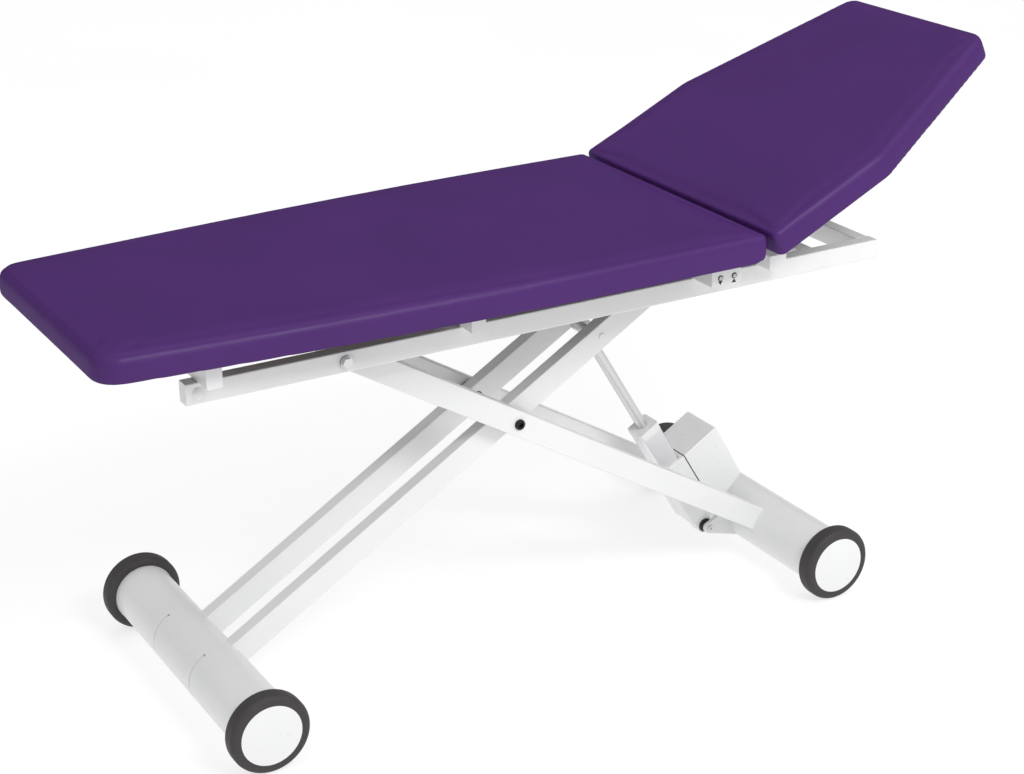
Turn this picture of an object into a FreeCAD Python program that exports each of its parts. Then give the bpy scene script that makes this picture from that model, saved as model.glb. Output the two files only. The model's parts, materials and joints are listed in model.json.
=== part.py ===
import FreeCAD, Part
import math
import os

# Examination couch on a scissor lift.  Millimetres, +Z up, floor at Z = 0.
# +X runs from the foot end to the head end, -Y is the side with the switches.
# The origin is on the floor, below the middle of the couch's bounding box.

V = FreeCAD.Vector

# ---------------------------------------------------------------- driving sizes
FOOT_X = -723.4          # axis of the foot base tube
BASE_SPREAD = 1276.0     # distance between the two base tube axes as stored
RING_R = 78.0            # rubber floor ring, outer radius
RING_IN = 291.0          # ring starts at this |Y|
RING_OUT = 329.0         # ring ends at this |Y|
TUBE_R = 60.0            # base tube outer radius
TUBE_WALL = 3.0
TUBE_END = 290.5         # base tube half length
CAP_R = 64.4             # white domed cap in the ring
HUB_R = 61.0             # hub under the ring
AXLE_R = 10.0

LEG_ANGLE = 30.9         # legs against the floor as stored
LEG_LOWER = 743.5        # base tube axis to centre pivot
LEG_LENGTH = 1214.2      # base tube axis to top pivot
LEG_H = 50.0
LEG_W = 30.0
LEG_WALL = 2.5
LEG_END_R = 17.0
LEG_TAPER = 62.0
INNER_LEG_Y = 47.5       # inner face of the inner legs
OUTER_LEG_Y = 86.5       # inner face of the outer legs

RAIL_Y0 = 168.5          # inner face of the long rails
RAIL_Y1 = 198.5          # outer face
RAIL_Z0 = 681.5
RAIL_Z1 = 721.5
RAIL_X0 = FOOT_X - 65.0
RAIL_X1 = FOOT_X + 1433.0
WALL = 2.5
CORNER_R = 2.5           # outside corner radius of the drawn steel tubes
BAR_HALF = 238.0         # half length of the cross bars without plugs
BAR_H = 40.0
BOARD_T = 14.0
BOARD_Z = RAIL_Z1 + BAR_H
CUSHION_Z = BOARD_Z + BOARD_T + 0.3
CUSHION_T = 55.7
CUSHION_X0 = FOOT_X - 241.0
CUSHION_X1 = FOOT_X + 1060.0
HALF_WIDTH = 324.0

BACK_ANGLE = 25.6        # backrest above horizontal as stored
HINGE_X = FOOT_X + 1072.2
HINGE_Z = 793.7
BACK_GAP = 10.9          # hinge axis to the backrest's front face
BACK_LENGTH = 666.0
BACK_T = 53.7
BACK_HALF = 331.0
BACK_END_HALF = 200.0
BACK_STRAIGHT = 277.0

os.makedirs("parts", exist_ok=True)


# ---------------------------------------------------------------- helpers
def save(name, solids):
    shape = solids[0] if len(solids) == 1 else Part.makeCompound(solids)
    shape.exportStep("parts/%s.step" % name)


def box(x0, x1, y0, y1, z0, z1):
    return Part.makeBox(x1 - x0, y1 - y0, z1 - z0, V(x0, y0, z0))


def ycyl(x, z, r, y0, y1):
    return Part.makeCylinder(r, y1 - y0, V(x, y0, z), V(0, 1, 0))


def zcyl(x, y, r, z0, z1):
    return Part.makeCylinder(r, z1 - z0, V(x, y, z0), V(0, 0, 1))


def prism_y(points, y0, y1):
    wire = Part.makePolygon([V(x, y0, z) for x, z in points + points[:1]])
    return Part.Face(wire).extrude(V(0, y1 - y0, 0))


def prism_z(points, z0, z1):
    wire = Part.makePolygon([V(x, y, z0) for x, y in points + points[:1]])
    return Part.Face(wire).extrude(V(0, 0, z1 - z0))


def mirrored(shape):
    return shape.mirror(V(0, 0, 0), V(0, 1, 0))


def pair(shape):
    return [shape, mirrored(shape)]


def hexagon_y(x, z, across, y0, y1):
    r = across / math.sqrt(3.0)
    corners = [(x + r * math.cos(math.radians(60 * i)), z + r * math.sin(math.radians(60 * i)))
               for i in range(6)]
    return prism_y(corners, y0, y1)


def rounded_along(shape, direction, radius):
    """Round the straight edges of a block that run along one axis."""
    edges = [e for e in shape.Edges if abs(abs(e.tangentAt(e.FirstParameter).dot(direction)) - 1) < 1e-6]
    return shape.makeFillet(radius, edges)


def rect_tube_x(x0, x1, y0, y1, z0, z1, wall):
    inner = box(x0 - 1, x1 + 1, y0 + wall, y1 - wall, z0 + wall, z1 - wall)
    return rounded_along(box(x0, x1, y0, y1, z0, z1), V(1, 0, 0), CORNER_R).cut(inner)


def rect_tube_y(x0, x1, y0, y1, z0, z1, wall):
    inner = box(x0 + wall, x1 - wall, y0 - 1, y1 + 1, z0 + wall, z1 - wall)
    return rounded_along(box(x0, x1, y0, y1, z0, z1), V(0, 1, 0), CORNER_R).cut(inner)


HEAD_X = FOOT_X + BASE_SPREAD
COS_A = math.cos(math.radians(LEG_ANGLE))
SIN_A = math.sin(math.radians(LEG_ANGLE))
PIVOT_Z = RING_R + LEG_LENGTH * SIN_A
PIVOT_X = HEAD_X - LEG_LENGTH * COS_A
ROLLER_X = FOOT_X + LEG_LENGTH * COS_A
CENTRE_X = FOOT_X + LEG_LOWER * COS_A
CENTRE_Z = RING_R + LEG_LOWER * SIN_A


# ---------------------------------------------------------------- floor wheels and base tubes
def floor_wheel(x):
    """Hub and rubber ring on the +Y end of a base tube."""
    y = RING_IN
    outer = ycyl(x, RING_R, HUB_R, y + 0.5, RING_OUT - 3.0)
    outer = outer.fuse(ycyl(x, RING_R, CAP_R, RING_OUT - 3.0, RING_OUT - 0.6))
    rise = 4.6
    arc = Part.Arc(V(x + CAP_R - 1.2, RING_OUT - 0.6, RING_R),
                   V(x + CAP_R * 0.55, RING_OUT - 0.6 + rise * 0.70, RING_R),
                   V(x, RING_OUT - 0.6 + rise, RING_R)).toShape()
    side = Part.makeLine(V(x, RING_OUT - 0.6 + rise, RING_R), V(x, RING_OUT - 0.6, RING_R))
    base = Part.makeLine(V(x, RING_OUT - 0.6, RING_R), V(x + CAP_R - 1.2, RING_OUT - 0.6, RING_R))
    face = Part.Face(Part.Wire([arc, side, base]))
    dome = face.revolve(V(x, 0, RING_R), V(0, 1, 0), 360)
    outer = outer.fuse(dome).removeSplitter()
    ring = ycyl(x, RING_R, RING_R, RING_IN, RING_OUT)
    rims = [e for e in ring.Edges if abs(e.Length - 2 * math.pi * RING_R) < 0.1 and len(e.Vertexes) == 1]
    ring = ring.makeFillet(11.0, rims)
    ring = ring.cut(outer).cut(ycyl(x, RING_R, HUB_R, RING_IN - 1, RING_OUT - 3.0))
    pocket = ycyl(x, RING_R, 54.0, y, y + 28).cut(ycyl(x, RING_R, 16.0, y, y + 28))
    hub = outer.cut(pocket).cut(ycyl(x, RING_R, AXLE_R + 0.05, y, y + 31.0))
    return hub, ring


def tube_plug(x):
    """Turned plug pressed in the +Y tube end, with the stub axle of the wheel."""
    disc = ycyl(x, RING_R, TUBE_R - TUBE_WALL, TUBE_END - 24, TUBE_END)
    return disc.fuse(ycyl(x, RING_R, AXLE_R, TUBE_END - 1, RING_IN + 30.5)).removeSplitter()


def base_tube(x):
    outer = ycyl(x, RING_R, TUBE_R, -TUBE_END, TUBE_END)
    return outer.cut(ycyl(x, RING_R, TUBE_R - TUBE_WALL, -TUBE_END - 1, TUBE_END + 1))


foot_hub, foot_ring = floor_wheel(FOOT_X)
head_hub, head_ring = floor_wheel(HEAD_X)
save("foot_hub_far", [foot_hub])
save("foot_hub_near", [mirrored(foot_hub)])
save("foot_ring_far", [foot_ring])
save("foot_ring_near", [mirrored(foot_ring)])
save("head_hubs", pair(head_hub))
save("head_rings", pair(head_ring))
save("foot_axle_plugs", pair(tube_plug(FOOT_X)))
save("head_axle_plugs", pair(tube_plug(HEAD_X)))

# two narrow slits run round the outer side of the foot tube, each from a small hole
SLIT_Y = 89.0
SLIT_W = 2.0
SLIT_START = 26.7
SLIT_END = 122.0
foot_tube = base_tube(FOOT_X)
fan = [(FOOT_X, RING_R)]
steps = 10
for i in range(steps + 1):
    a = math.radians(SLIT_START + (SLIT_END - SLIT_START) * i / steps)
    fan.append((FOOT_X - 80 * math.sin(a), RING_R + 80 * math.cos(a)))
start = math.radians(SLIT_START)
outward = V(-math.sin(start), 0, math.cos(start))
for side in (-1, 1):
    y = side * SLIT_Y
    foot_tube = foot_tube.cut(prism_y(fan, y - SLIT_W / 2, y + SLIT_W / 2))
    foot_tube = foot_tube.cut(Part.makeCylinder(3.0, 80, V(FOOT_X, y, RING_R), outward))
save("foot_base_tube", [foot_tube])
save("head_base_tube", [base_tube(HEAD_X)])


# ---------------------------------------------------------------- scissor legs
def leg(x_axis, towards, y0):
    """Rectangular tube from a base tube (at x_axis) up to its top pivot, on the +Y side."""
    def to_world(u, v):
        return (x_axis + towards * (u * COS_A - v * SIN_A), RING_R + u * SIN_A + v * COS_A)

    h = LEG_H / 2
    near_top = LEG_LENGTH - LEG_TAPER
    outline = [(0, -h), (near_top, -h), (LEG_LENGTH, -LEG_END_R),
               (LEG_LENGTH, LEG_END_R), (near_top, h), (0, h)]
    body = prism_y([to_world(u, v) for u, v in outline], y0, y0 + LEG_W)
    x_top, z_top = to_world(LEG_LENGTH, 0)
    body = body.fuse(ycyl(x_top, z_top, LEG_END_R, y0, y0 + LEG_W)).removeSplitter()
    # the long edges are rounded on both flanks, all the way round the top end
    base_end = V(x_axis, (2 * y0 + LEG_W) / 2, RING_R)
    flanks = [e for e in body.Edges
              if e.BoundBox.YLength < 0.01 and e.CenterOfMass.distanceToPoint(base_end) > TUBE_R]
    body = body.makeFillet(CORNER_R, flanks)
    h_in = h - LEG_WALL
    hollow = [(0, -h_in), (near_top - 4, -h_in), (near_top - 4, h_in), (0, h_in)]
    # solid blocks stay where the centre pivot passes
    cavity = prism_y([to_world(u, v) for u, v in hollow], y0 + LEG_WALL, y0 + LEG_W - LEG_WALL)
    x_mid, z_mid = to_world(LEG_LOWER, 0)
    cavity = cavity.cut(ycyl(x_mid, z_mid, 20.0, y0, y0 + LEG_W))
    body = body.cut(cavity)
    return body.cut(ycyl(x_axis, RING_R, TUBE_R, y0 - 1, y0 + LEG_W + 1))


PIN_R = 8.0
BUSH_R = 11.0
TOP_TUBE_R = 14.0
ROLLER_AXLE_R = 8.0
ROD_PIN_U = 990.2        # actuator pin along the inner legs

inner_leg = leg(FOOT_X, 1, INNER_LEG_Y)
inner_leg = inner_leg.cut(ycyl(CENTRE_X, CENTRE_Z, BUSH_R, 0, 200))
inner_leg = inner_leg.cut(ycyl(ROLLER_X, PIVOT_Z, ROLLER_AXLE_R, 0, 200))
save("inner_legs", pair(inner_leg))

outer_leg = leg(HEAD_X, -1, OUTER_LEG_Y)
outer_leg = outer_leg.cut(ycyl(CENTRE_X, CENTRE_Z, PIN_R, 0, 200))
outer_leg = outer_leg.cut(ycyl(PIVOT_X, PIVOT_Z, TOP_TUBE_R, 0, 200))
save("outer_legs", pair(outer_leg))

# centre pivot: black headed pin, pressed in the outer leg, turning in a flanged bush
leg_gap_out = OUTER_LEG_Y - 0.3
outer_face = OUTER_LEG_Y + LEG_W
inner_out = INNER_LEG_Y + LEG_W
pin = ycyl(CENTRE_X, CENTRE_Z, PIN_R, INNER_LEG_Y + 1.5, outer_face)
head = ycyl(CENTRE_X, CENTRE_Z, 10.5, outer_face, outer_face + 5.5)
rim = [e for e in head.Edges if len(e.Vertexes) == 1 and e.BoundBox.YMin > outer_face + 5]
head = head.makeFillet(1.8, rim)
pin = pin.fuse(head).cut(hexagon_y(CENTRE_X, CENTRE_Z, 10.0, outer_face + 1.0, outer_face + 6))
save("centre_pivot_pins", pair(pin))
bush = ycyl(CENTRE_X, CENTRE_Z, BUSH_R, INNER_LEG_Y, inner_out)
bush = bush.fuse(ycyl(CENTRE_X, CENTRE_Z, 19.0, inner_out, leg_gap_out))
bush = bush.cut(ycyl(CENTRE_X, CENTRE_Z, PIN_R + 0.05, 0, 200)).removeSplitter()
save("centre_bushes", pair(bush))

# cross tube through the tops of the outer legs, bolted through the rails
TOP_TUBE_Y = 160.0
BOLT_R = 6.0
top_tube = ycyl(PIVOT_X, PIVOT_Z, TOP_TUBE_R, -TOP_TUBE_Y, TOP_TUBE_Y)
top_tube = top_tube.cut(ycyl(PIVOT_X, PIVOT_Z, 10.0, 1 - TOP_TUBE_Y + 40, TOP_TUBE_Y - 41))
for side in (-1, 1):
    inner_end, outer_end = sorted((side * (TOP_TUBE_Y - 45), side * (TOP_TUBE_Y + 1)))
    top_tube = top_tube.cut(ycyl(PIVOT_X, PIVOT_Z, BOLT_R, inner_end, outer_end))
save("top_pivot_tube", [top_tube])
BUSH_FLANGE = 1.6
top_bush = ycyl(PIVOT_X, PIVOT_Z, 9.0, RAIL_Y0, RAIL_Y1)
top_bush = top_bush.fuse(ycyl(PIVOT_X, PIVOT_Z, 13.5, TOP_TUBE_Y + 0.3, RAIL_Y0))
top_bush = top_bush.fuse(ycyl(PIVOT_X, PIVOT_Z, 12.0, RAIL_Y1, RAIL_Y1 + BUSH_FLANGE))
top_bush = top_bush.cut(ycyl(PIVOT_X, PIVOT_Z, BOLT_R + 0.05, 0, 250)).removeSplitter()
save("top_pivot_bushes", pair(top_bush))
washer_y = RAIL_Y1 + BUSH_FLANGE + 0.2
bolt = ycyl(PIVOT_X, PIVOT_Z, BOLT_R, TOP_TUBE_Y - 35, washer_y + 2.0)
bolt = bolt.fuse(ycyl(PIVOT_X, PIVOT_Z, 12.0, washer_y, washer_y + 2.0))
bolt = bolt.fuse(hexagon_y(PIVOT_X, PIVOT_Z, 18.0, washer_y + 2.0, washer_y + 9.0)).removeSplitter()
save("top_pivot_bolts", pair(bolt))

# guide rollers on an axle through the tops of the inner legs
ROLLER_R = 16.6
ROLLER_Y0 = 148.0
ROLLER_Y1 = 163.0
axle = ycyl(ROLLER_X, PIVOT_Z, ROLLER_AXLE_R, -ROLLER_Y1 - 1, ROLLER_Y1 + 1)
for collar in pair(ycyl(ROLLER_X, PIVOT_Z, 11.0, inner_out, ROLLER_Y0 - 0.3)):
    axle = axle.fuse(collar)
save("roller_axle", [axle.removeSplitter()])
roller = ycyl(ROLLER_X, PIVOT_Z, ROLLER_R, ROLLER_Y0, ROLLER_Y1)
roller = roller.cut(ycyl(ROLLER_X, PIVOT_Z, ROLLER_AXLE_R + 0.05, 0, 250))
for y in (ROLLER_Y0, ROLLER_Y1):
    recess = ycyl(ROLLER_X, PIVOT_Z, 14.0, y - 1.5, y + 1.5)
    roller = roller.cut(recess.cut(ycyl(ROLLER_X, PIVOT_Z, 11.0, y - 1.5, y + 1.5)))
save("guide_roller_far", [roller])
save("guide_roller_near", [mirrored(roller)])


# ---------------------------------------------------------------- top frame
DOME_X = FOOT_X - 45.0
DOME_R = 12.0
DOME_H = 6.0
DOME_SPIGOT_R = 6.0


def rail():
    body = rect_tube_x(RAIL_X0, RAIL_X1, RAIL_Y0, RAIL_Y1, RAIL_Z0, RAIL_Z1, WALL)
    body = body.cut(ycyl(DOME_X, PIVOT_Z, DOME_SPIGOT_R, RAIL_Y1 - WALL - 1, RAIL_Y1 + 1))
    return body.cut(ycyl(PIVOT_X, PIVOT_Z, 9.0, 100, 250))


save("long_rails", pair(rail()))

PLUG_T = 3.0
end_plugs = []
for x_end, out in ((RAIL_X0, -1), (RAIL_X1, 1)):
    x_face = sorted((x_end, x_end + out * PLUG_T))
    plate = box(x_face[0], x_face[1], RAIL_Y0, RAIL_Y1, RAIL_Z0, RAIL_Z1)
    plate = rounded_along(plate, V(1, 0, 0), CORNER_R)
    x_out = x_end + out * PLUG_T
    rim = [e for e in plate.Edges if e.BoundBox.XLength < 0.01 and abs(e.BoundBox.XMin - x_out) < 0.1]
    plate = plate.makeFillet(1.0, rim)
    x_in = sorted((x_end, x_end - out * 14.0))
    spigot = box(x_in[0], x_in[1], RAIL_Y0 + WALL, RAIL_Y1 - WALL, RAIL_Z0 + WALL, RAIL_Z1 - WALL)
    end_plugs += pair(plate.fuse(spigot).removeSplitter())


def cross_tube(x0, x1):
    return rect_tube_y(x0, x1, -RAIL_Y0, RAIL_Y0, RAIL_Z0, RAIL_Z1, WALL)


CROSS_W = 30.0
cross_starts = (FOOT_X + 1262.0, RAIL_X1 - CROSS_W)
save("cross_tubes", [cross_tube(x, x + CROSS_W) for x in cross_starts])

# push-in domed cap over the access hole at the rail's foot end
ball_r = (DOME_R ** 2 + DOME_H ** 2) / (2 * DOME_H)
dome = Part.makeSphere(ball_r, V(DOME_X, RAIL_Y1 + DOME_H - ball_r, PIVOT_Z))
dome = dome.common(box(DOME_X - 20, DOME_X + 20, RAIL_Y1, RAIL_Y1 + 20, PIVOT_Z - 20, PIVOT_Z + 20))
dome = dome.fuse(ycyl(DOME_X, PIVOT_Z, DOME_SPIGOT_R, RAIL_Y1 - 7, RAIL_Y1 + 0.5)).removeSplitter()
save("dome_caps", pair(dome))

GUIDE_X0 = FOOT_X + 984.0
GUIDE_X1 = FOOT_X + 1172.0
GUIDE_Y0 = 143.5
guide = box(GUIDE_X0, GUIDE_X1, GUIDE_Y0, RAIL_Y0, RAIL_Z0, RAIL_Z1)
guide = guide.cut(box(GUIDE_X0 - 1, GUIDE_X1 + 1, GUIDE_Y0 - 1, RAIL_Y0 - 3, RAIL_Z0 + 3, RAIL_Z1 - 3))
save("roller_guides", pair(guide))

FOOT_BAR_X = FOOT_X - 46.0
MID_BAR_X = FOOT_X + 466.0
BAR_W = 30.0
HEAD_BAR_X0 = FOOT_X + 1131.0
HEAD_BAR_X1 = FOOT_X + 1171.0
HEAD_BAR_H = 30.0
SCREW_R = 3.0
SCREW_Y = 120.0


def bar_screw_places():
    places = []
    for x in (FOOT_BAR_X + 22.5, MID_BAR_X + BAR_W / 2):
        for y in (-SCREW_Y, SCREW_Y):
            places.append((x, y))
    return places


bars = []
for x in (FOOT_BAR_X, MID_BAR_X):
    bar = rect_tube_y(x, x + BAR_W, -BAR_HALF, BAR_HALF, RAIL_Z1, RAIL_Z1 + BAR_H, WALL)
    for sx, sy in bar_screw_places():
        bar = bar.cut(zcyl(sx, sy, SCREW_R, RAIL_Z1 - 1, BOARD_Z + 1))
    bars.append(bar)
save("cushion_bars", bars)
save("head_bar", [rect_tube_y(HEAD_BAR_X0, HEAD_BAR_X1, -BAR_HALF, BAR_HALF,
                              RAIL_Z1, RAIL_Z1 + HEAD_BAR_H, WALL)])


def bar_plug(x0, x1, height):
    plate = box(x0, x1, BAR_HALF, BAR_HALF + PLUG_T, RAIL_Z1, RAIL_Z1 + height)
    plate = rounded_along(plate, V(0, 1, 0), CORNER_R)
    plate = plate.makeFillet(1.0, [e for e in plate.Edges if e.BoundBox.YMin > BAR_HALF + 1])
    spigot = box(x0 + WALL, x1 - WALL, BAR_HALF - 12, BAR_HALF, RAIL_Z1 + WALL, RAIL_Z1 + height - WALL)
    return pair(plate.fuse(spigot).removeSplitter())


for x in (FOOT_BAR_X, MID_BAR_X):
    end_plugs += bar_plug(x, x + BAR_W, BAR_H)
end_plugs += bar_plug(HEAD_BAR_X0, HEAD_BAR_X1, HEAD_BAR_H)
save("tube_end_plugs", end_plugs)

BUFFER_H = BAR_H - HEAD_BAR_H - 0.3
buffer_x = (HEAD_BAR_X0 + HEAD_BAR_X1) / 2
buffer = Part.makeCone(10.0, 8.5, BUFFER_H, V(buffer_x, 150.0, RAIL_Z1 + HEAD_BAR_H), V(0, 0, 1))
save("rest_buffers", pair(buffer))

# ---------------------------------------------------------------- switch box and buttons
BOX_X0 = FOOT_X + 979.0
BOX_X1 = FOOT_X + 1048.0
BOX_Y0 = -261.0
BOX_Y1 = -170.0
BOX_Z1 = RAIL_Z1 + 39.5
BOX_WALL = 2.5
BUTTON_X = (FOOT_X + 999.0, FOOT_X + 1031.0)
BUTTON_Z = RAIL_Z1 + 15.5
BUTTON_R = 4.0
BUTTON_TRAVEL = 1.5
case = box(BOX_X0, BOX_X1, BOX_Y0, BOX_Y1, RAIL_Z1, BOX_Z1)
front = [e for e in case.Edges if e.BoundBox.YMax < BOX_Y0 + 0.1]
case = case.makeFillet(1.5, front)
case = case.cut(box(BOX_X0 + BOX_WALL, BOX_X1 - BOX_WALL, BOX_Y0 + BOX_WALL, BOX_Y1 - BOX_WALL,
                    RAIL_Z1 + BOX_WALL, BOX_Z1 - BOX_WALL))
for x in BUTTON_X:
    case = case.cut(ycyl(x, BUTTON_Z, BUTTON_R + 0.1, BOX_Y0 - 1, BOX_Y0 + BOX_WALL + 1))
save("switch_box", [case])
bezels = []
buttons = []
for x in BUTTON_X:
    bezel = ycyl(x, BUTTON_Z, 5.8, BOX_Y0 - 0.9, BOX_Y0)
    bezels.append(bezel.cut(ycyl(x, BUTTON_Z, BUTTON_R + 0.2, BOX_Y0 - 2, BOX_Y0 + 1)))
    cap = ycyl(x, BUTTON_Z, BUTTON_R, BOX_Y0 - 2.4, BOX_Y0 + 9.0)
    rim = [e for e in cap.Edges if len(e.Vertexes) == 1 and e.BoundBox.YMax < BOX_Y0 - 2]
    cap = cap.makeFillet(0.7, rim)
    flange_y = BOX_Y0 + BOX_WALL + 0.1
    buttons.append(cap.fuse(ycyl(x, BUTTON_Z, 5.6, flange_y, flange_y + 1.6)).removeSplitter())
save("button_bezels", bezels)
save("button_down", [buttons[0]])
save("button_up", [buttons[1]])
board_y = BOX_Y0 + 9.0 + BUTTON_TRAVEL + 4.2
board = box(BOX_X0 + BOX_WALL, BOX_X1 - BOX_WALL, board_y, board_y + 1.6,
            RAIL_Z1 + BOX_WALL, BOX_Z1 - BOX_WALL)
for x in BUTTON_X:
    board = board.fuse(box(x - 3, x + 3, board_y - 4, board_y, BUTTON_Z - 3, BUTTON_Z + 3))
save("switch_board", [board.removeSplitter()])


# ---------------------------------------------------------------- leg section
def leg_half_width(x):
    """The long cushion narrows gently towards the foot end."""
    full_from = FOOT_X + 700.0
    if x >= full_from:
        return HALF_WIDTH
    return HALF_WIDTH - 52.0 * ((full_from - x) / 920.0) ** 1.6


def rounded_outline(corners, radii):
    """Closed wire in plan through the corners, each with its own rounding."""
    count = len(corners)
    edges = []
    ends = []
    for i in range(count):
        p = V(corners[i][0], corners[i][1], 0)
        a = V(corners[i - 1][0], corners[i - 1][1], 0)
        b = V(corners[(i + 1) % count][0], corners[(i + 1) % count][1], 0)
        da = (a - p).normalize()
        db = (b - p).normalize()
        half = da.getAngle(db) / 2
        if radii[i] <= 0:
            ends.append((p, p))
            continue
        reach = radii[i] / math.tan(half)
        bisector = (da + db).normalize()
        centre = p + bisector * (radii[i] / math.sin(half))
        middle = centre - bisector * radii[i]
        ends.append((p + da * reach, p + db * reach))
        edges.append((i, Part.Arc(p + da * reach, middle, p + db * reach).toShape()))
    arcs = dict(edges)
    path = []
    for i in range(count):
        if i in arcs:
            path.append(arcs[i])
        path.append(Part.makeLine(ends[i][1], ends[(i + 1) % count][0]))
    return Part.Wire(path)


def pad(corners, radii, z0, thickness, top_round, bottom_round):
    """Upholstered slab with rounded top and bottom edges."""
    wire = rounded_outline(corners, radii)
    solid = Part.Face(wire).extrude(V(0, 0, thickness))
    top = [e for e in solid.Edges if e.BoundBox.ZMin > thickness - 0.01]
    low = [e for e in solid.Edges if e.BoundBox.ZMax < 0.01]
    solid = solid.makeFillet(top_round, top)
    low = [e for e in solid.Edges if e.BoundBox.ZMax < 0.01]
    solid = solid.makeFillet(bottom_round, low)
    solid.translate(V(0, 0, z0))
    return solid


stations = 7
side_points = []
for i in range(stations + 1):
    x = CUSHION_X0 + (FOOT_X + 700.0 - CUSHION_X0) * i / stations
    side_points.append((x, leg_half_width(x)))
side_points.append((CUSHION_X1, HALF_WIDTH))
outline = [(x, -w) for x, w in side_points] + [(x, w) for x, w in reversed(side_points)]
radii = []
for i in range(len(outline)):
    x = outline[i][0]
    if x < CUSHION_X0 + 1:
        radii.append(32.0)
    elif x > CUSHION_X1 - 1:
        radii.append(14.0)
    else:
        radii.append(900.0)
save("leg_cushion", [pad(outline, radii, CUSHION_Z, CUSHION_T, 12.0, 8.0)])

LEG_BOARD = [(CUSHION_X0 + 40, -225), (CUSHION_X1 - 12, -270), (CUSHION_X1 - 12, 270), (CUSHION_X0 + 40, 225)]
leg_board = prism_z(LEG_BOARD, BOARD_Z, BOARD_Z + BOARD_T)
for sx, sy in bar_screw_places():
    leg_board = leg_board.cut(zcyl(sx, sy, SCREW_R, BOARD_Z - 1, BOARD_Z + 10))
save("leg_board", [leg_board])

screws = []
for sx, sy in bar_screw_places():
    shank = zcyl(sx, sy, SCREW_R, RAIL_Z1 - 0.5, BOARD_Z + 10)
    screws.append(shank.fuse(zcyl(sx, sy, 6.0, RAIL_Z1 - 3.5, RAIL_Z1)).removeSplitter())
save("board_screws", screws)


# ---------------------------------------------------------------- backrest, drawn flat and tilted
def tilted(shape):
    shape = shape.copy()
    shape.rotate(V(HINGE_X, 0, HINGE_Z), V(0, -1, 0), BACK_ANGLE)
    return shape


BACK_X0 = HINGE_X + BACK_GAP
BACK_X1 = BACK_X0 + BACK_LENGTH
BACK_XS = BACK_X0 + BACK_STRAIGHT
back_corners = [(BACK_X0, -BACK_HALF), (BACK_XS, -BACK_HALF), (BACK_X1, -BACK_END_HALF),
                (BACK_X1, BACK_END_HALF), (BACK_XS, BACK_HALF), (BACK_X0, BACK_HALF)]
back_radii = [14.0, 60.0, 34.0, 34.0, 60.0, 14.0]
back_pad = pad(back_corners, back_radii, CUSHION_Z, BACK_T, 12.0, 8.0)
save("back_cushion", [tilted(back_pad)])
INSET = 62.0
BOARD_FRONT = BACK_X0 + 40.0
back_board_outline = [(BOARD_FRONT, -BACK_HALF + INSET), (BACK_XS - 12, -BACK_HALF + INSET),
                      (BACK_X1 - 45, -BACK_END_HALF + 50), (BACK_X1 - 45, BACK_END_HALF - 50),
                      (BACK_XS - 12, BACK_HALF - INSET), (BOARD_FRONT, BACK_HALF - INSET)]
save("back_board", [tilted(prism_z(back_board_outline, BOARD_Z, BOARD_Z + BOARD_T))])

# hinges: the axis lies in the gap between the two cushions
EYE_R = 9.0
HINGE_PIN_R = 4.0
SLEEVE_R = 5.5
LOW_Y0 = 200.0
LOW_Y1 = 206.0
UP_Y0 = 208.0
UP_Y1 = 214.0
low_foot_z = RAIL_Z1 + 9.0
low_leaf = ycyl(HINGE_X, HINGE_Z, EYE_R, LOW_Y0, LOW_Y1)
low_leaf = low_leaf.fuse(box(HINGE_X - EYE_R, HINGE_X + EYE_R, LOW_Y0, LOW_Y1, low_foot_z, HINGE_Z))
low_leaf = low_leaf.fuse(box(HINGE_X - EYE_R, HEAD_BAR_X0, LOW_Y0, LOW_Y1, low_foot_z, low_foot_z + 18))
low_leaf = low_leaf.fuse(box(HEAD_BAR_X0 - 4, HEAD_BAR_X0, LOW_Y1 - 24, LOW_Y1, low_foot_z, low_foot_z + 18))
low_leaf = low_leaf.cut(ycyl(HINGE_X, HINGE_Z, SLEEVE_R, 100, 300)).removeSplitter()
save("hinge_leaves_frame", pair(low_leaf))
sleeve = ycyl(HINGE_X, HINGE_Z, SLEEVE_R, LOW_Y0, LOW_Y1)
sleeve = sleeve.fuse(ycyl(HINGE_X, HINGE_Z, 7.5, LOW_Y1, UP_Y0 - 0.2))
sleeve = sleeve.cut(ycyl(HINGE_X, HINGE_Z, HINGE_PIN_R + 0.04, 100, 300)).removeSplitter()
save("hinge_friction_sleeves", pair(sleeve))
up_foot_z = BOARD_Z - 5.0
up_leaf = ycyl(HINGE_X, HINGE_Z, EYE_R, UP_Y0, UP_Y1)
up_leaf = up_leaf.fuse(box(HINGE_X - EYE_R, HINGE_X + EYE_R, UP_Y0, UP_Y1, up_foot_z, HINGE_Z))
up_leaf = up_leaf.fuse(box(HINGE_X - EYE_R, BACK_X0 + 90, UP_Y0, UP_Y0 + 26, up_foot_z, BOARD_Z))
up_leaf = up_leaf.cut(ycyl(HINGE_X, HINGE_Z, HINGE_PIN_R, 100, 300)).removeSplitter()
save("hinge_leaves_back", [tilted(s) for s in pair(up_leaf)])
hinge_pin = ycyl(HINGE_X, HINGE_Z, HINGE_PIN_R, LOW_Y0 - 1, UP_Y1)
hinge_pin = hinge_pin.fuse(ycyl(HINGE_X, HINGE_Z, 6.5, UP_Y1, UP_Y1 + 3)).removeSplitter()
save("hinge_pins", [tilted(s) for s in pair(hinge_pin)])

# ---------------------------------------------------------------- lifting actuator
# Its own frame: s runs from the lower pin up the rod, p is square to it towards the head end.
LOW_PIN = V(FOOT_X + 1163.3, 0, 66.6)
TOP_PIN = V(FOOT_X + ROD_PIN_U * COS_A + 0.3, 0, RING_R + ROD_PIN_U * SIN_A + 0.2)
AXIS_S = (TOP_PIN - LOW_PIN).normalize()
AXIS_P = V(AXIS_S.z, 0, -AXIS_S.x)
REACH = (TOP_PIN - LOW_PIN).Length


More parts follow.
